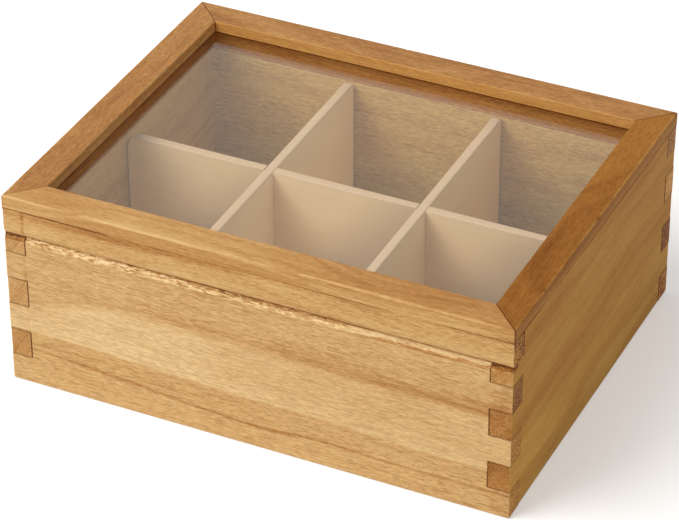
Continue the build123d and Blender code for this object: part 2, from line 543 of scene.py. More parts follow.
tornBand = {
    "reach": (5.5, 4.0),  # millimetres in from the front: nothing torn yet, wholly torn
    "waver": (0.12, 0.12, 0.12),  # cycles per millimetre, here and below
    "chip": (0.34, 1.0, 1.6),
    "splinter": (0.30, 1.1, 1.5),
    "splinterEdge": (0.44, 0.58),
    "chipEdge": (0.62, 0.38),
    "lineDepth": (0.75, 0.4),  # millimetres under the rim, for the painted shade line under the seam
}


# Torn wood along the front of the rim. From the rim down: a dark line of painted shade under the seam, brown
# chips, pale chips or a smooth pale ledge, and a brown foot of painted shade along the band's lower edge. A
# board gives curves along the front for each.
def tornEdge(place, axes, nz, tone, torn, seed):
    x, y, z = axes

    def alongFront(part, top=1.0):
        return curve(x, torn[part], top=top)

    far, near = tornBand["reach"]
    onFront = times(between(y, front + far, front + near), between(nz, 0.95, 0.85))
    waver = noise(place, tornBand["waver"], seed + 8)
    chip = noise(place, tornBand["chip"], seed + 10, 3.0, 0.6)
    depth = weigh(chip, 1.5, weigh(waver, 1.4, minus(rim, z)))
    below = minus(depth, alongFront("height", 10.0))
    inBand = times(between(below, 0.25, -0.25), onFront)
    under = between(minus(depth, alongFront("brownDepth", 10.0)), -0.2, 0.3)
    splinter = noise(place, tornBand["splinter"], seed + 12, 3.0, 0.6)
    pale = minus(between(splinter, *tornBand["splinterEdge"]), 0.2)
    lift = plus(times(pale, alongFront("pale")), alongFront("ledge"))
    drop = times(between(chip, *tornBand["chipEdge"]), alongFront("brown"))
    change = plus(minus(times(plus(lift, drop), under), drop), torn["tone"])
    tone = timesPlus(inBand, change, tone)
    # Painted shade: a brown foot along the lower edge of the band.
    footLow = torn["footHeight"]
    foot = times(between(below, -0.2, 0.3), between(below, footLow + 0.4, footLow - 0.4), onFront)
    tone = minus(tone, times(foot, alongFront("foot")))
    # Painted shade: a dark line just under the seam.
    low, high = tornBand["lineDepth"]
    line = times(between(weigh(chip, 1.2, z), rim - low, rim - high), onFront)
    return tone, times(line, alongFront("line"))


glueAndSeamShadeLine = {
    "width": 0.55,  # millimetres where the thread noise is 1
    "smudgeInset": 0.7,  # of the smudge's middle, left of the left board's inner face
    "smudgeWidth": (1.2, 0.3),
    "smudgeRise": (15.0, 25.0),
    "seamHeight": (0.7, 0.35),  # painted shade: the brown edge of the lid just over the seam
    "seamBreaks": (0.3, 0.6),
    "seamStrength": 0.5,
}


# Brown lines round the finger joints, thin and broken. On the front and back an upright line runs
# beside a side board's finger, on the sides beside a long board's. On the lid strips a broken line of painted
# shade runs along the lower edge over the seam.
def glueAndSeamShadeLines(axes, normals, thread, look):
    x, y, z = axes
    pitch = hardwood["fingerPitch"]
    sideX, sideY = absolute(x), absolute(y)
    frontal = maths("GREATER_THAN", absolute(normals[1]), 0.8)
    frontal = times(frontal, maths("GREATER_THAN", sideY, back - 1.5))
    lateral = maths("GREATER_THAN", absolute(normals[0]), 0.8)
    lateral = times(lateral, maths("GREATER_THAN", sideX, right - 1.0))
    width = times(thread, glueAndSeamShadeLine["width"])
    nearX = times(maths("LESS_THAN", absolute(minus(sideX, innerRight)), width), frontal)
    nearY = times(maths("LESS_THAN", absolute(minus(sideY, innerBack)), width), lateral)
    fromSmudge = absolute(minus(x, innerLeft - glueAndSeamShadeLine["smudgeInset"]))
    smudge = between(fromSmudge, *glueAndSeamShadeLine["smudgeWidth"])
    smudge = times(smudge, frontal, between(z, *glueAndSeamShadeLine["smudgeRise"]))
    smudge = times(smudge, times(thread, look["smudge"]))
    if look["joints"] == "strips":
        # painted shade along the lid's lower edge, over the seam
        high, low = glueAndSeamShadeLine["seamHeight"]
        seam = times(between(z, rim + high, rim + low), frontal)
        seam = times(seam, between(thread, *glueAndSeamShadeLine["seamBreaks"]), glueAndSeamShadeLine["seamStrength"])
        glueAndShade = largest(nearY, seam)
        return largest(smudge, times(glueAndShade, look["glueAndShadeStrength"]))
    sideRow = maths("MODULO", maths("FLOOR", maths("DIVIDE", z, pitch)), 2.0)
    longRow = minus(1.0, sideRow)
    level = maths("PINGPONG", z, pitch)  # 0 or pitch where one finger ends and the next starts
    nearLevel = largest(maths("LESS_THAN", level, width), maths("GREATER_THAN", level, minus(pitch, width)))
    beyondX = times(maths("GREATER_THAN", sideX, innerRight), frontal)
    beyondY = times(maths("GREATER_THAN", sideY, innerBack), lateral)
    nearLevel = times(nearLevel, largest(beyondX, beyondY), maths("GREATER_THAN", z, 2.0))
    glueAndShade = largest(times(nearX, sideRow), times(nearY, longRow), nearLevel)
    return largest(times(glueAndShade, look["glueAndShadeStrength"]), times(smudge, longRow))


topFrame = {
    "width": 13.5,
    "step": 0.8,  # longest side of a quad along a member
    "inStep": 1.5,  # and across it
    "heightStep": 1.2,
    "ease": 0.7,
    "innerEase": 0.4,
    "groove": 0.1,
    "chipDepth": 0.2,
    "nickLength": 2.2,
    # the brown line along its underside
    "footHeight": [(-110, 0.7), (-60, 0.5), (-30, 0.3), (110, 0.3)],
    "footStrength": [(-110, 0.45), (-50, 0.4), (-20, 0.2), (20, 0.3), (50, 0.6), (110, 0.65)],
}


# A line along each mitre, with a strength for the low and the high end of x and of y, and a broken
# line where the frame lies on the strips.
def mitreGlue(axes, thread, lines):
    x, y, z = axes
    off = absolute(minus(minus(right, absolute(x)), minus(back, absolute(y))))
    width = weigh(thread, 0.5, 0.34)
    near = between(off, width, times(width, 0.4))
    for axis, (low, high) in zip((x, y), lines):
        near = times(near, timesPlus(maths("GREATER_THAN", axis, 0.0), high - low, low))
    above = minus(minus(z, stripTop), curve(x, topFrame["footHeight"], top=10.0))
    foot = times(between(above, 0.2, -0.1), between(thread, 0.38, 0.52))
    return largest(near, times(foot, curve(x, topFrame["footStrength"], top=1.0)))


# Mesh helpers.


# Planes through every stop, with equal steps between neighbours that are no longer than step.
def planesThrough(stops, step):
    stops = np.unique(np.round(np.array(stops, float), 4))
    runs = [
        np.linspace(low, high, max(1, int(np.ceil((high - low) / step))), endpoint=False)
        for low, high in zip(stops[:-1], stops[1:])
    ]
    return np.append(np.concatenate(runs), stops[-1])


# The planes that an edge of this radius needs on the inner side of its corner.
def easeStops(value, inward, radius):
    return [value + inward * radius * share for share in (0.0, 0.42, 0.73, 1.0)]


# Skin of the filled cells between the planes: wherever a filled cell meets an empty one, a quad that
# points into the empty one.
def skinOfCells(planes, filled):
    sizes = [len(values) for values in planes]
    padded = np.pad(filled, 1).astype(int)
    quads = []
    for axis in range(3):
        change = np.diff(padded, axis=axis)
        trim = [slice(1, -1)] * 3
        trim[axis] = slice(None)
        change = change[tuple(trim)]
        second, third = (axis + 1) % 3, (axis + 2) % 3
        for sign in (1, -1):
            cells = np.argwhere(change == sign)
            corners = np.repeat(cells[:, None, :], 4, axis=1)
            corners[:, 1:3, second] += 1
            corners[:, 2:4, third] += 1
            quads.append(corners[:, ::-1] if sign == 1 else corners)
    corners = np.concatenate(quads)
    flat = np.ravel_multi_index(corners.reshape(-1, 3).T, sizes)
    used, index = np.unique(flat, return_inverse=True)
    lattice = np.stack(np.unravel_index(used, sizes), axis=1)
    points = np.stack([planes[k][lattice[:, k]] for k in range(3)], axis=1)
    return points, index.reshape(-1, 4)


# Rounds the edges of a block: the offset from its inner core keeps its largest component as its length.
def easeBlock(points, low, high, radius):
    core = np.clip(points, np.array(low, float) + radius, np.array(high, float) - radius)
    offset = points - core
    reach = np.abs(offset).max(axis=1, keepdims=True)
    length = np.linalg.norm(offset, axis=1, keepdims=True)
    return core + offset * reach / np.maximum(length, 1e-9)


# Smooth random values between 0 and 1 in patches of the given size, blended between their corners.
def patchNoise(x, z, size, seed):
    table = np.random.default_rng(seed).random((64, 64))
    u, v = x / size[0], z / size[1]
    cellU, cellV = np.floor(u).astype(int), np.floor(v).astype(int)
    shareU, shareV = smoothStep(u - cellU, 0, 1), smoothStep(v - cellV, 0, 1)

    def corner(stepU, stepV):
        return table[(cellU + stepU) % 64, (cellV + stepV) % 64]

    low = corner(0, 0) * (1 - shareU) + corner(1, 0) * shareU
    high = corner(0, 1) * (1 - shareU) + corner(1, 1) * shareU
    return low * (1 - shareV) + high * shareV


# From 0 at low to 1 at high as 3 t squared less 2 t cubed, t being the share of the way, held past both.
def smoothStep(value, low, high):
    share = np.clip((value - low) / (high - low), 0, 1)
    return share * share * (3 - 2 * share)


# Adds a piece that replaces a CAD node, from points in millimetres and four corners for each quad.
def addPiece(name, node, points, quads, look, body):
    mesh = bpy.data.meshes.new(name)
    mesh.vertices.add(len(points))
    mesh.vertices.foreach_set("co", (points / perMetre).astype(np.float32).ravel())
    mesh.loops.add(quads.size)
    mesh.loops.foreach_set("vertex_index", quads.astype(np.int32).ravel())
    mesh.polygons.add(len(quads))
    mesh.polygons.foreach_set("loop_start", np.arange(0, quads.size, 4, dtype=np.int32))
    mesh.update(calc_edges=True)
    mesh.validate()
    mesh.shade_smooth()
    mesh.set_sharp_from_angle(angle=math.radians(38))
    mesh.materials.append(woodMaterial(name.removesuffix("Strip") + "Wood", look))
    item = addItem(name, mesh)
    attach(item, body)
    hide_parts(node)


# The planes of a grid along x, y and z, with those that the recesses need.
def gridPlanes(stops, steps, recesses=()):
    planes = []
    for axis, (run, step) in enumerate(zip(stops, steps)):
        edges = [corner[axis] for recess in recesses for corner in recess]
        planes.append(planesThrough(run + [edge for edge in edges if abs(edge) < farAway], step))
    return planes


# x, y and z in the middle of every cell of the grid.
def middles(planes):
    return np.meshgrid(*[(values[1:] + values[:-1]) / 2 for values in planes], indexing="ij")


# True for cells inside any of the boxes.
def inBoxes(cells, boxes):
    inside = np.zeros(cells[0].shape, bool)
    for low, high in boxes:
        inside |= np.all([(cell > a) & (cell < b) for cell, a, b in zip(cells, low, high)], axis=0)
    return inside


# The walls of the box.

walls = {
    "step": 1.6,  # longest side of a quad along a board
    "heightStep": 2.08,
    "longThickStep": 2.5,
    "sideThickStep": 1.0,
    "ease": 0.5,  # radius of the outside edges
    "rimEase": 0.18,
    "innerEase": 0.45,  # radius along the inside of the rim
    "groove": 0.1,  # depth and half width of the glue lines
    "panelRebate": 5.0,
    "panelThick": 4.0,
    "bevelHeight": 2.5,
    "bevelDepth": 1.2,
    "bevelBlend": 3.5,  # how far into the wood the bevel squeezes the planes
    "waver": (7.0, 1.0),  # length and height of a patch in millimetres, here and below
    "scars": (6.0, 0.8),
    "fineScars": (2.1, 0.45),
    "grit": (1.3, 0.4),
    "sideSet": 0.15,  # the side boards lie this much inside the ends of the long boards' fingers
    "leafThick": 1.0,
    "leafGap": 0.1,  # hinge leaf to the edge of its recess
}
fingerLevels = [hardwood["fingerPitch"] * count for count in range(1, 6)]


# True for cells inside a finger of the long boards.
def inLongFinger(z):
    return (np.floor(z / hardwood["fingerPitch"]) % 2) == 0


# The planes of the rounded edges at both ends of a board.
def outsideStops(low, high):
    return easeStops(low, 1, walls["ease"]) + easeStops(high, -1, walls["ease"])


# A joint's plane and the two sides of its glue line.
def jointStops(value):
    return [value - walls["groove"], value, value + walls["groove"]]


# Sinks the outline of the finger joints a little into the outside faces.
def sinkJoints(points):
    x, y, z = points.T
    nearLevel = np.min([np.abs(z - level) for level in fingerLevels], axis=0) < 1e-3
    uprightX = np.abs(np.abs(x) - innerRight) < 1e-3
    uprightY = np.abs(np.abs(y) - innerBack) < 1e-3
    onFront = np.abs(np.abs(y) - back) < 1e-3
    onSide = np.abs(np.abs(x) - right) < 1e-3
    longRow = inLongFinger(z)
    sunkY = onFront & ((uprightX & (nearLevel | ~longRow)) | (nearLevel & (np.abs(x) > innerRight)))
    sunkX = onSide & ((uprightY & (nearLevel | longRow)) | (nearLevel & (np.abs(y) > innerBack)))
    sunk = points.copy()
    sunk[sunkY, 1] -= np.sign(y[sunkY]) * walls["groove"]
    sunk[sunkX, 0] -= np.sign(x[sunkX]) * walls["groove"]
    return sunk


# Moves the front few millimetres of wood back by the given depth, in full at the face and less and
# less in a straight line behind it.
def pushBack(points, depthIn):
    share = np.clip(1 - (points[:, 1] - front) / walls["bevelBlend"], 0, 1)
    moved = points.copy()
    moved[:, 1] += depthIn * share
    return moved


# Depth of the bevel under the lid: none below a wavering line and growing steadily up to the rim, plus
# torn chips where patchy noise is high and some grit.
def bevelDepth(x, z, roughness, seed):
    start = rim - walls["bevelHeight"] + 0.8 * (patchNoise(x, x * 0, walls["waver"], seed) - 0.5)
    share = np.clip((z - start) / (rim - start), 0, 1)
    scars = patchNoise(x, z, walls["scars"], seed + 1)
    scars = scars + 0.6 * patchNoise(x, z, walls["fineScars"], seed + 2)
    grit = patchNoise(x, z, walls["grit"], seed + 3)
    chips = 0.5 * smoothStep(scars, 0.75, 0.95) + 0.35 * grit
    return walls["bevelDepth"] * share + roughness * chips * smoothStep(z, start - 0.6, start + 0.5)


# Squeezes a side board's thickness in proportion, so that the ends of the long boards' fingers stand proud.
def setBack(points):
    share = (np.abs(points[:, 0]) - innerRight) / (right - innerRight)
    moved = points.copy()
    moved[:, 0] -= np.sign(points[:, 0]) * walls["sideSet"] * share
    return moved


# Rounds the outside corners, then the edges at the seam, which ends the heights at low or at high,
# along the sides and the back.
def easeCorners(points, under, low, high, settings):
    points = easeBlock(points, (left, front, under), (right, back, farAway), settings["ease"])
    small = settings["rimEase"]
    points = easeBlock(points, (left, -farAway, low), (right, farAway, high), small)
    return easeBlock(points, (-farAway, -farAway, low), (farAway, back, high), small)


# Rounds the outside edges of a wall, then the edge of its rim along the inside face.
def easeWall(points, low=(-farAway, -farAway), high=(farAway, farAway)):
    points = easeCorners(sinkJoints(points), floorLevel, -farAway, rim, walls)
    return easeBlock(points, (*low, -farAway), (*high, rim), walls["innerEase"])


# The recesses for the hinge leaves, as (low, high) corners. They are open at the back.
def leafRecesses(zLow, zHigh):
    gap = walls["leafGap"]
    leaves = [nodeBox("hinge_left_box_leaf"), nodeBox("hinge_right_box_leaf")]
    return [((low[0] - gap, low[1] - gap, zLow), (high[0] + gap, farAway, zHigh)) for low, high in leaves]


# The planes through a wall's thickness.
def thickStops(outside, inside):
    inward = np.sign(inside - outside)
    stops = easeStops(outside, inward, walls["ease"]) + easeStops(inside, -inward, walls["innerEase"])
    return stops + [inside - inward * walls["panelRebate"]]


# The planes that every wall needs up its height, and further ones.
def heightStops(further):
    stops = easeStops(floorLevel, 1, walls["ease"]) + easeStops(rim, -1, walls["rimEase"])
    for level in fingerLevels:
        stops += jointStops(level)
    return stops + [walls["panelThick"], *further]


# True for cells in the rebate that holds the bottom panel.
def inPanelRebate(x, y, z):
    reachX, reachY = innerRight + walls["panelRebate"], innerBack + walls["panelRebate"]
    return (np.abs(x) < reachX) & (np.abs(y) < reachY) & (z < walls["panelThick"])


# Front or back board: whole between the side boards and only its fingers beyond them, less the
# panel's rebate and the hinge recesses.
def longBoard(outside, inside, xStep, zStops, recesses=()):
    rebate = walls["panelRebate"]
    xStops = outsideStops(left, right) + [innerLeft - rebate, innerRight + rebate]
    xStops += jointStops(innerLeft) + jointStops(innerRight)
    yStops = thickStops(outside, inside) + [outside + np.sign(inside - outside) * walls["bevelBlend"]]
    steps = (xStep, walls["longThickStep"], walls["heightStep"])
    planes = gridPlanes((xStops, yStops, heightStops(zStops)), steps, recesses)
    x, y, z = middles(planes)
    filled = ((x > innerLeft) & (x < innerRight)) | inLongFinger(z)
    return skinOfCells(planes, filled & ~inPanelRebate(x, y, z) & ~inBoxes((x, y, z), recesses))


# Side board: whole between the long boards and only its own fingers beyond them, less the rebate.
def sideBoard(outside, inside):
    rebate = walls["panelRebate"]
    yStops = outsideStops(front, back) + jointStops(innerFront) + jointStops(innerBack)
    yStops += [innerFront - rebate, innerBack + rebate, front + walls["bevelBlend"]]
    steps = (walls["sideThickStep"], walls["step"], walls["heightStep"])
    zStops = heightStops(np.arange(rim - 4, rim, 0.4))
    planes = gridPlanes((thickStops(outside, inside), yStops, zStops), steps)
    x, y, z = middles(planes)
    filled = ((y > innerFront) & (y < innerBack)) | ~inLongFinger(z)
    return skinOfCells(planes, filled & ~inPanelRebate(x, y, z))


frontBoard = {
    "grain": "x",
    "seed": 3.0,
    "pith": (-150.0, 60.0),
    "slope": 0.02,
    "tone": 0.02,
    "broad": 0.10,
    "fine": 0.08,
    "dash": 0.36,
    "joints": "fingers",
    "endDark": [(0, 0.06), (12, 0.06), (26, 0.2), (70, 0.2)],
    "endSpeckle": (0.45, 1.9),
    "endGrit": (1.2, 1.2, 1.4),
    "endWash": (252, 236, 175),
    "smudge": 0.2,
    "torn": {
        "tone": 0.0,
        "height": [(-100, 3.2), (30, 3.4), (45, 3.0), (60, 2.2), (100, 2.0)],
        "footHeight": 1.5,
        "pale": [(-100, 0.6), (-60, 0.65), (-30, 0.6), (-12, 0.5), (0, 0.5), (25, 0.5), (40, 0.2), (60, 0.0)],
        "ledge": [(-100, 0.0), (25, 0.05), (45, 0.17), (60, 0.21), (100, 0.21)],
        "brown": [(-100, 0.15), (-30, 0.2), (-15, 0.24), (0, 0.26), (25, 0.26), (45, 0.2), (60, 0.1)],
        "brownDepth": [
            *((-100, 0.3), (-60, 0.5), (-30, 1.0), (-15, 1.6)),
            *((0, 2.0), (25, 2.0), (40, 1.2), (55, 0.4)),
        ],
        # painted shade along the lower edge of the torn band
        "foot": [(-100, 0.02), (0, 0.06), (40, 0.1), (60, 0.16), (100, 0.16)],
        # strength of the painted shade line under the seam
        "line": [(-100, 0.5), (-40, 0.6), (20, 0.5), (50, 0.35), (100, 0.25)],
    },
    "layers": [
        {  # dark streak that sinks to the right
            "low": [(-110, 48.5), (-60, 48.5), (0, 48.0), (50, 46.0), (110, 46.0)],
            "high": [(-110, 51.5), (-60, 52.0), (0, 52.0), (50, 50.8), (110, 50.8)],
            "soft": (2.0, 3.0),
            "speckle": 1.6,
            "amount": [(-110, 0.0), (-70, 0.03), (-40, 0.06), (0, 0.11), (60, 0.15), (110, 0.19)],
            "sign": -0.8,
        },
        {  # duller wood above it
            "low": [(-110, 52), (110, 50)],
            "high": 62,
            "soft": (1.5, 5.0),
            "amount": [(-110, 0.0), (0, 0.1), (60, 0.2), (98, 0.3), (104, 0.75)],
            "sign": -0.12,
        },
        {  # pale wood left of the middle
            "low": [(-110, 25.8), (-50, 24.6), (110, 20.0)],
            "high": [(-110, 36), (-70, 46), (0, 46.5), (110, 45)],
            "soft": (0.5, 3.5),
            "amount": [(-110, 0.8), (-60, 1.0), (-30, 0.9), (-10, 0.55), (30, 0.4), (110, 0.3)],
            "sign": 0.18,
        },
        {  # pale edge above the sharp line
            "low": [(-100, 25.8), (-50, 24.6), (0, 22.8), (40, 21.6), (100, 19.9)],
            "high": [(-100, 28.5), (-50, 28.0), (0, 26.5), (40, 24.5), (100, 22.6)],
            "soft": (0.4, 2.4),
            "amount": [(-110, 0.5), (110, 0.7)],
            "sign": 0.14,
        },
        {  # duller wood under the sharp line
            "low": [(-100, 17), (0, 11), (96, 10), (106, -3)],
            "high": [(-100, 25.6), (-50, 24.4), (0, 22.6), (40, 21.4), (100, 19.7)],
            "soft": (3.0, 0.4),
            "amount": [(-110, 0.3), (95, 0.3), (104, 1.0)],
            "sign": -0.06,
        },
        {  # thin dark vein low down
            "low": [(-110, 17.2), (-66, 14.2), (-24, 11.2), (8, 9.4), (24, 10.8), (50, 10.5), (110, 9.6)],
            "high": [(-110, 18.4), (-66, 15.5), (-24, 12.5), (8, 10.9), (24, 12.3), (50, 11.8), (110, 11.0)],
            "soft": (0.7, 0.5),
            "amount": [(-110, 0.5), (-60, 0.6), (0, 0.8), (20, 0.7), (110, 0.4)],
            "sign": -0.24,
        },
    ],
}
points, quads = longBoard(front, innerFront, 0.55, np.arange(rim - 4.6, rim, 0.28))
points = easeWall(points, high=(farAway, innerFront))
points = pushBack(points, bevelDepth(points[:, 0], points[:, 2], 1.0, 11))
addPiece("frontBoard", "front_board", points, quads, frontBoard, "box")

backBoard = {
    "grain": "x",
    "seed": 11.0,
    "pith": (20.0, 190.0),
    "slope": -0.015,
    "tone": -0.03,
    "broad": 0.3,
    "innerShadeTint": (250, 251, 232),
    # painted shade on the inner face, darker downwards and to the right in each compartment
    "paintedShade": (202, 216, 230),
    "shadeStart": (62.0, 27.0),
    "shadeSlope": (0.018, 0.007),
    "shadeDrift": 0.0023,
    "drift": 12.0,
    "joints": "fingers",
    "endDark": [(0, 0.16), (12, 0.16), (25, 0.26), (37, 0.26), (50, 0.0), (70, 0.0)],
    "endWash": (255, 236, 200),
    "endSpeckle": (0.45, 1.0),
    "endGrit": (1.2, 0.6, 0.9),
}
recesses = leafRecesses(rim - walls["leafThick"], rim)
points, quads = longBoard(back, innerBack, walls["step"], [], recesses)
points = easeWall(points, low=(-farAway, innerBack))
addPiece("backBoard", "back_board", points, quads, backBoard, "box")

# The same band where it crosses the end of a side board's finger: brown end grain without pale chips.
tornEnd = {
    "tone": -0.16,
    "height": 2.5,
    "pale": 0.05,
    "ledge": 0.0,
    "brown": [(-110, 0.2), (110, 0.25)],
    "brownDepth": 1.2,
    "foot": 0.0,
}
leftBoard = {
    "grain": "y",
    "seed": 17.0,
    "pith": (110.0, -230.0),
    "tone": -0.04,
    "broad": 0.14,
    "streak": 0.06,
    "thread": 0.08,
    "fibre": 0.4,
    "dash": 0.2,
    "innerShadeTint": (243, 240, 198),
    "joints": "fingers",
    "endDark": [(0, 0.06), (37, 0.06), (39, 0.03), (50, 0.03), (62, 0.02), (70, 0.02)],
    "torn": {**frontBoard["torn"], **tornEnd},
}
points, quads = sideBoard(left, innerLeft)
points = easeWall(points, high=(innerLeft, farAway))
points = setBack(pushBack(points, bevelDepth(points[:, 0], points[:, 2], 0.3, 15)))
addPiece("leftBoard", "left_board", points, quads, leftBoard, "box")

# The right board's darker tone and its outside tint are partly its own wood and partly painted shade on its
# outer face, which looks away from the lamp; its inner faces take a lighter tone back.
rightBoard = {
    "grain": "y",
    "seed": 23.0,
    "pith": (-60.0, 260.0),
    "tone": -0.10,
    "broad": 0.14,
    "fine": 0.08,
    "streak": 0.12,
    "thread": 0.06,
    "fibre": 0.22,
    "dash": 0.10,
    "joints": "fingers",
    "outsideTintAndShade": (252, 242, 180),
    "innerLightTone": 0.24,
    "endDark": [(0, 0.14), (25, 0.14), (37, 0.08), (50, 0.08), (62, -0.02), (70, -0.02)],
    "torn": {**frontBoard["torn"], **tornEnd},
    "specular": 0.06,
    "layers": [
        {  # paler wood low down
            "low": [(-110, -20), (110, -20)],
            "high": 20,
            "soft": (1.0, 9.0),
            "amount": 1.0,
            "sign": 0.06,
        },
    ],
}
points, quads = sideBoard(right, innerRight)
points = easeWall(points, low=(innerRight, -farAway))
points = setBack(pushBack(points, bevelDepth(points[:, 0], points[:, 2], 0.3, 19)))
addPiece("rightBoard", "right_board", points, quads, rightBoard, "box")
print("walls done")


# The four strips of the lid.

strips = {
    "step": 1.6,
    "thickStep": 2.0,
    "heightStep": 1.0,
    "glassRebate": 4.0,
    "bevelHeight": 1.6,
    "bevelDepth": 0.7,
    "waver": (9.0, 1.0),  # length and height of a patch, as for the walls
    "wearAndHighlight": (3.1, 0.6),
    "ease": 0.5,
    "rimEase": 0.15,
}


# One strip: all cells outside the rebate for the glass, less the hinge recesses, with rounded corners.
def stripBar(xSpan, ySpan, steps, recesses=()):
    glassX, glassY = innerRight + strips["glassRebate"], innerBack + strips["glassRebate"]
    stops = []
    for (low, high), rebate in ((xSpan, glassX), (ySpan, glassY)):
        run = [low, high] + [value for value in (-rebate, rebate) if low < value < high]
        stops.append(run + easeStops(low, 1, strips["ease"]) + easeStops(high, -1, strips["ease"]))
    if ySpan[0] == front:
        stops[1].append(front + walls["bevelBlend"])
    zStops = easeStops(rim, 1, strips["rimEase"]) + [rim + strips["bevelHeight"], glassLow, stripTop]
    planes = gridPlanes((*stops, zStops), steps, recesses)
    x, y, z = middles(planes)
    filled = ~((np.abs(x) < glassX) & (np.abs(y) < glassY) & (z > glassLow))
    points, quads = skinOfCells(planes, filled & ~inBoxes((x, y, z), recesses))
    return easeCorners(points, -farAway, rim, farAway, strips), quads


# Depth of the bevel over the seam: it starts on a wavering line and grows steadily down to the lower
# edge, a little unevenly.
def lidBevelDepth(x, z, seed):
    top = rim + strips["bevelHeight"] + 0.5 * (patchNoise(x, x * 0, strips["waver"], seed) - 0.5)
    share = np.clip((top - z) / (top - rim), 0, 1)
    wearAndHighlight = patchNoise(x, z, strips["wearAndHighlight"], seed + 1)
    return share * (strips["bevelDepth"] + 0.25 * (wearAndHighlight - 0.5))


lidFrontStrip = {
    "grain": "x",
    "seed": 31.0,
    "pith": (-90.0, 150.0),
    "tone": 0.0,
    "broad": 0.12,
    "joints": "strips",
    "dash": 0.34,
    "fibre": 0.6,
    "outsideTintAndShade": (255, 253, 246),
    "smudge": 0.35,
    "endDark": 0.22,
    "endSpeckle": (0.45, 2.3),
    "endGrit": (1.2, 1.1, 1.3),
    "endWash": (252, 232, 150),
    "layers": [
        {  # brown wood along the top
            "low": [(-110, 80.0), (-60, 79.6), (0, 80.6), (110, 81.2)],
            "high": 84.0,
            "soft": (0.9, 0.5),
            "amount": [(-110, 0.3), (-80, 0.9), (-20, 0.8), (30, 0.5), (110, 0.4)],
            "sign": -0.13,
        },
        {  # duller wood to the right
            "low": 60,
            "high": 90,
            "soft": (1.0, 1.0),
            "amount": [(-110, 0.0), (0, 0.1), (50, 1.0)],
            "sign": -0.035,
        },
        {  # pale streak low down
            "low": 72.0,
            "high": [(-110, 75.6), (0, 75.0), (110, 75.6)],
            "soft": (0.5, 1.2),
            "amount": [(-110, 0.6), (0, 0.3), (110, 0.5)],
            "sign": 0.08,
        },
    ],
}
points, quads = stripBar((left, right), (front, innerFront), (0.8, strips["thickStep"], 0.4))
points = pushBack(points, lidBevelDepth(points[:, 0], points[:, 2], 41))
addPiece("lidFrontStrip", "lid_front_strip", points, quads, lidFrontStrip, "lid")

lidBackStrip = {
    "grain": "x",
    "seed": 37.0,
    "pith": (-70.0, 190.0),
    "tone": -0.06,
    "broad": 0.3,
    # painted shade: the inner face under the frame is darker, as if in the frame's shadow
    "innerShadeTint": (232, 207, 184),
    "joints": "strips",
    "endDark": 0.15,
    "endSpeckle": (0.45, 0.8),
}
recesses = leafRecesses(rim, rim + walls["leafThick"])
steps = (strips["step"], strips["thickStep"], strips["heightStep"])
points, quads = stripBar((left, right), (innerBack, back), steps, recesses)
addPiece("lidBackStrip", "lid_back_strip", points, quads, lidBackStrip, "lid")

lidLeftStrip = {
    "grain": "y",
    "seed": 41.0,
    "pith": (-80.0, -190.0),
    "tone": -0.06,
    "broad": 0.3,
    # painted shade: the inner face under the glass is darker
    "innerShadeTint": (206, 182, 182),
    "joints": "strips",
}
steps = (strips["thickStep"], strips["step"], strips["heightStep"])
points, quads = stripBar((left, innerLeft), (innerFront, innerBack), steps)
addPiece("lidLeftStrip", "lid_left_strip", points, quads, lidLeftStrip, "lid")

# The right strip takes the right board's look, with the painted shade on its outer face.
lidRightStrip = {**rightBoard, "seed": 43.0, "tone": -0.145, "joints": "strips", "torn": None}
points, quads = stripBar((innerRight, right), (innerFront, innerBack), steps)
addPiece("lidRightStrip", "lid_right_strip", points, quads, lidRightStrip, "lid")
print("lid strips done")


# The mitred frame on the lid.


# One member in its own axes: share along it, distance in from the outside face, height. Its length at
# a distance in is the full length less twice that distance, so that a share of 0 or 1 lies on a mitre.
# Chips bite into the outer top edge where the noise along it is high.
def frameMember(outward, length, chips, seed):
    width = topFrame["width"]
    rebate = right - innerRight - strips["glassRebate"]
    inStops = easeStops(0, 1, topFrame["ease"]) + easeStops(width, -1, topFrame["innerEase"]) + [rebate]
    zStops = [stripTop, glassHigh] + easeStops(lidTop, -1, topFrame["ease"])
    shares = np.linspace(0, 1, int(length / topFrame["step"]))
    inPlanes = planesThrough(inStops, topFrame["inStep"])
    planes = (shares, inPlanes, planesThrough(zStops, topFrame["heightStep"]))
    inCell, zCell = middles(planes)[1:]
    points, quads = skinOfCells(planes, (inCell < rebate) | (zCell > glassHigh))
    share = points[:, 0].copy()
    onEnd = (share < 1e-6) | (share > 1 - 1e-6)
    onSkin = (points[:, 2] > lidTop - 1e-6) | (points[:, 1] < 1e-6)
    points = easeBlock(points, (-farAway, 0, -farAway), (farAway, farAway, lidTop), topFrame["ease"])
    innerHigh = (farAway, width, lidTop)
    points = easeBlock(points, (-farAway, -farAway, -farAway), innerHigh, topFrame["innerEase"])
    inward = points[:, 1]
    run = inward + share * (length - 2 * inward)
    bite = smoothStep(patchNoise(run, inward * 0, (topFrame["nickLength"], 1.0), seed), 1 - chips, 1.0)
    bite = bite * smoothStep(inward + (lidTop - points[:, 2]), 2.2, 0.6) * topFrame["chipDepth"]
    inward = inward + bite * (inward < 1.5)
    height = points[:, 2] - bite - topFrame["groove"] * (onEnd & onSkin)
    run = run - length / 2
    turns = {
        "front": (run, front + inward),
        "right": (right - inward, run),
        "back": (-run, back - inward),
        "left": (left + inward, -run),
    }
    return np.stack([*turns[outward], height], axis=1), quads


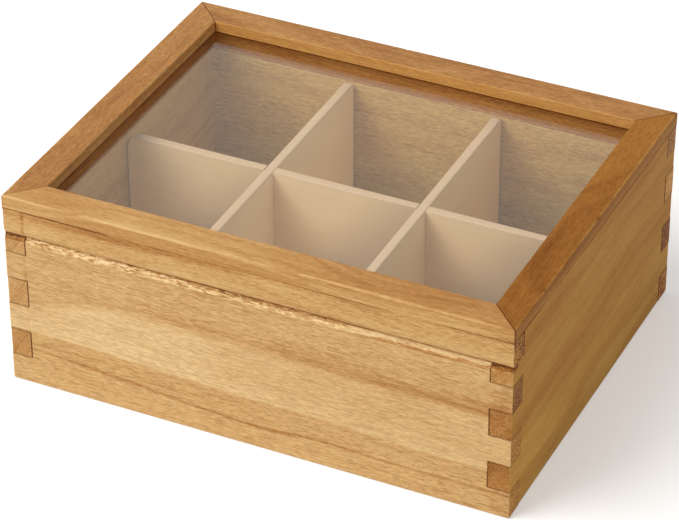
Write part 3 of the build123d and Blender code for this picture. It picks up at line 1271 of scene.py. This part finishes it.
frameLooks = {
    "front": {
        "grain": "x",
        "seed": 51.0,
        "pith": (-20.0, -140.0),
        "tone": -0.08,
        "broad": 0.12,
        "outsideTintAndShade": (255, 253, 246),
        "dash": 0.2,
        "fibre": 0.4,
        "layers": [
            {  # duller wood to the right
                "low": [(-110, -20), (110, -20)],
                "high": 40,
                "soft": (1.0, 1.0),
                "amount": [(-110, 0.0), (0, 0.1), (50, 1.0)],
                "sign": -0.055,
            },
        ],
        "mitreLines": ((0.1, 0.9), (1.0, 1.0)),
        "chips": 0.05,
    },
    "right": {
        "grain": "y",
        "seed": 57.0,
        "pith": (-160.0, 100.0),
        "tone": -0.23,
        "broad": 0.25,
        "streak": 0.08,
        "thread": 0.08,
        "dash": 0.12,
        "fibre": 0.35,
        "mitreLines": ((1.0, 1.0), (0.9, 0.5)),
        "chips": 0.2,
        "outsideTintAndShade": (246, 238, 208),
        "specular": 0.04,
    },
    "back": {
        "grain": "x",
        "seed": 61.0,
        "pith": (-60.0, 60.0),
        "tone": -0.17,
        "broad": 0.2,
        "dash": 0.25,
        "fibre": 0.5,
        "mitreLines": ((0.5, 0.5), (1.0, 1.0)),
        "chips": 0.02,
        "innerLightTone": 0.22,
        "innerShadeTint": (252, 232, 195),
    },
    "left": {
        "grain": "y",
        "seed": 67.0,
        "pith": (-90.0, -60.0),
        "tone": -0.17,
        "broad": 0.2,
        "dash": 0.3,
        "fibre": 0.55,
        "mitreLines": ((1.0, 1.0), (0.1, 0.5)),
        "chips": 0.05,
        "innerLightTone": 0.1,
    },
}
for side, look in frameLooks.items():
    length = right - left if side in ("front", "back") else back - front
    points, quads = frameMember(side, length, look["chips"], int(look["seed"]))
    addPiece("frame" + side.title(), "top_frame_" + side, points, quads, look, "lid")
print("mitred frame done")


# Finishes for the CAD nodes that stay.

longDivider = {
    "dark": (240, 207, 167),
    "face": (247, 216, 177),
    "pale": (252, 223, 188),
    "edge": (224, 214, 218),
    # painted shade on the front faces, darker downwards and to the right in each compartment
    "paintedShade": (194, 189, 195),
    "shadeStart": (59.0, 27.0),  # height and distance from the left where the painted shade on each front face begins, mm
    "shadeSlope": (0.0275, 0.026),  # share of the painted shade for each mm down and to the right
    "shadeDrift": 0.0038,  # and for each mm from the middle of the box
}
shortDivider = {
    "dark": (249, 219, 180),
    "face": (253, 227, 190),
    "pale": (255, 233, 200),
    "edge": (220, 206, 206),
}
panelWood = {
    "dark": (226, 204, 162),
    "face": (236, 217, 178),
    "pale": (245, 229, 194),
    "edge": (255, 255, 255),
}
leafBrass = {"dark": (152, 122, 70), "pale": (212, 184, 120), "roughness": 0.28}
screwBrass = {"dark": (184, 158, 108), "pale": (238, 218, 166), "roughness": 0.18}


# Pale plain wood: clouds, threads and fibres along the grain, and a darker colour on the top edge of a
# divider:
# painted shade, set against pale faces that stand in for more light inside the box. A divider that has a
# painted shade takes it on its front face.
def paleWoodMaterial(name, colours, grain, seed):
    material, shader, place, normal = startMaterial(name)
    x, y, z = axesOf(place)
    grainPlace = combine(x, z, y) if grain == "x" else combine(y, z, x)
    cloud = noise(grainPlace, (0.012, 0.05, 0.05), seed)
    thread = noise(grainPlace, (0.03, 0.9, 0.9), seed + 1, 3.0)
    fibre = noise(grainPlace, (0.12, 3.0, 3.0), seed + 2)
    tone = weigh(fibre, 0.4, weigh(thread, 0.6, weigh(cloud, 0.8, 0.5)))
    colour = ramp(tone, [(0.1, colours["dark"]), (0.5, colours["face"]), (0.9, colours["pale"])])
    top = nodeBox("long_divider")[1][2]
    # Painted shade: the top edge is darker than the faces.
    colour = tint(colour, colours["edge"], between(z, top - 0.9, top - 0.5))
    # Painted shade on the front face, darker downwards and to the right in each compartment.
    if "paintedShade" in colours:
        frontFace = between(axesOf(normal)[1], -0.4, -0.6)
        colour = tint(colour, colours["paintedShade"], times(paintedShadeShare(x, z, colours), frontFace))
    sockets = {
        "Base Color": colour,
        "Roughness": timesPlus(thread, 0.2, 0.5),
        "Specular IOR Level": 0.3,
        "Normal": bumpOf(fibre, 0.25, 0.0001),
    }
    plug(shader, sockets)
    return material


# Brass between its dark and pale colours, as a cloudy tarnish says, with fine scratches.
def brassMaterial(name, colours, seed):
    material, shader, place = startMaterial(name)[:3]
    tarnish = noise(place, (0.35, 0.35, 0.35), seed, 3.0, 0.6)
    scratch = noise(place, (0.25, 6.0, 6.0), seed + 1)
    sockets = {
        "Base Color": ramp(weigh(tarnish, 1.6, 0.55), [(0.1, colours["dark"]), (0.9, colours["pale"])]),
        "Metallic": 1.0,
        "Roughness": timesPlus(tarnish, 0.25, colours["roughness"]),
        "Normal": bumpOf(scratch, 0.15, 0.00005),
    }
    plug(shader, sockets)
    return material


# Clear to the eye. Light for the compartments goes straight through, a little dimmed.
def glassMaterial(name):
    material, shader, place = startMaterial(name)[:3]
    sockets = {
        "Base Color": (0.975, 0.995, 0.945, 1),
        "Transmission Weight": 1.0,
        "IOR": 1.42,
        # Its reflections are tinted warm: a painted reflection of warm surroundings.
        "Specular Tint": (1.0, 0.97, 0.75, 1),
        "Roughness": times(noise(place, (0.01, 0.02, 0.01), 5.0), 0.02),
    }
    plug(shader, sockets)
    tree = material.node_tree
    rays = put(tree, "ShaderNodeLightPath").outputs
    straight = put(tree, "ShaderNodeBsdfTransparent", {"Color": (0.99, 0.995, 0.96, 1)}).outputs[0]
    surface = shader.outputs[0]
    for ray in ("Is Diffuse Ray", "Is Shadow Ray"):
        surface = put(tree, "ShaderNodeMixShader", {0: rays[ray], 1: surface, 2: straight}).outputs[0]
    plug(tree.nodes["Material Output"], {"Surface": surface})
    return material


# Gives a CAD node that stays its material.
def finish(node, material):
    data = cadNodes[node].data
    data.materials.clear()
    data.materials.append(material)


finish("long_divider", paleWoodMaterial("longDividerWood", longDivider, "x", 71.0))
finish("short_divider_left", paleWoodMaterial("shortDividerWood", shortDivider, "y", 73.0))
finish("short_divider_right", paleWoodMaterial("shortDividerWoodRight", shortDivider, "y", 79.0))
finish("bottom_panel", paleWoodMaterial("panelWood", panelWood, "x", 83.0))
finish("glass_pane", glassMaterial("clearGlass"))
brassFinish = brassMaterial("hingeBrass", leafBrass, 91.0)
screwFinish = brassMaterial("screwBrass", screwBrass, 97.0)
for node in cadNodes:
    if node.startswith("hinge_"):
        finish(node, brassFinish)
    elif node.endswith("_hinge_screws"):
        finish(node, screwFinish)
print("finishes done")
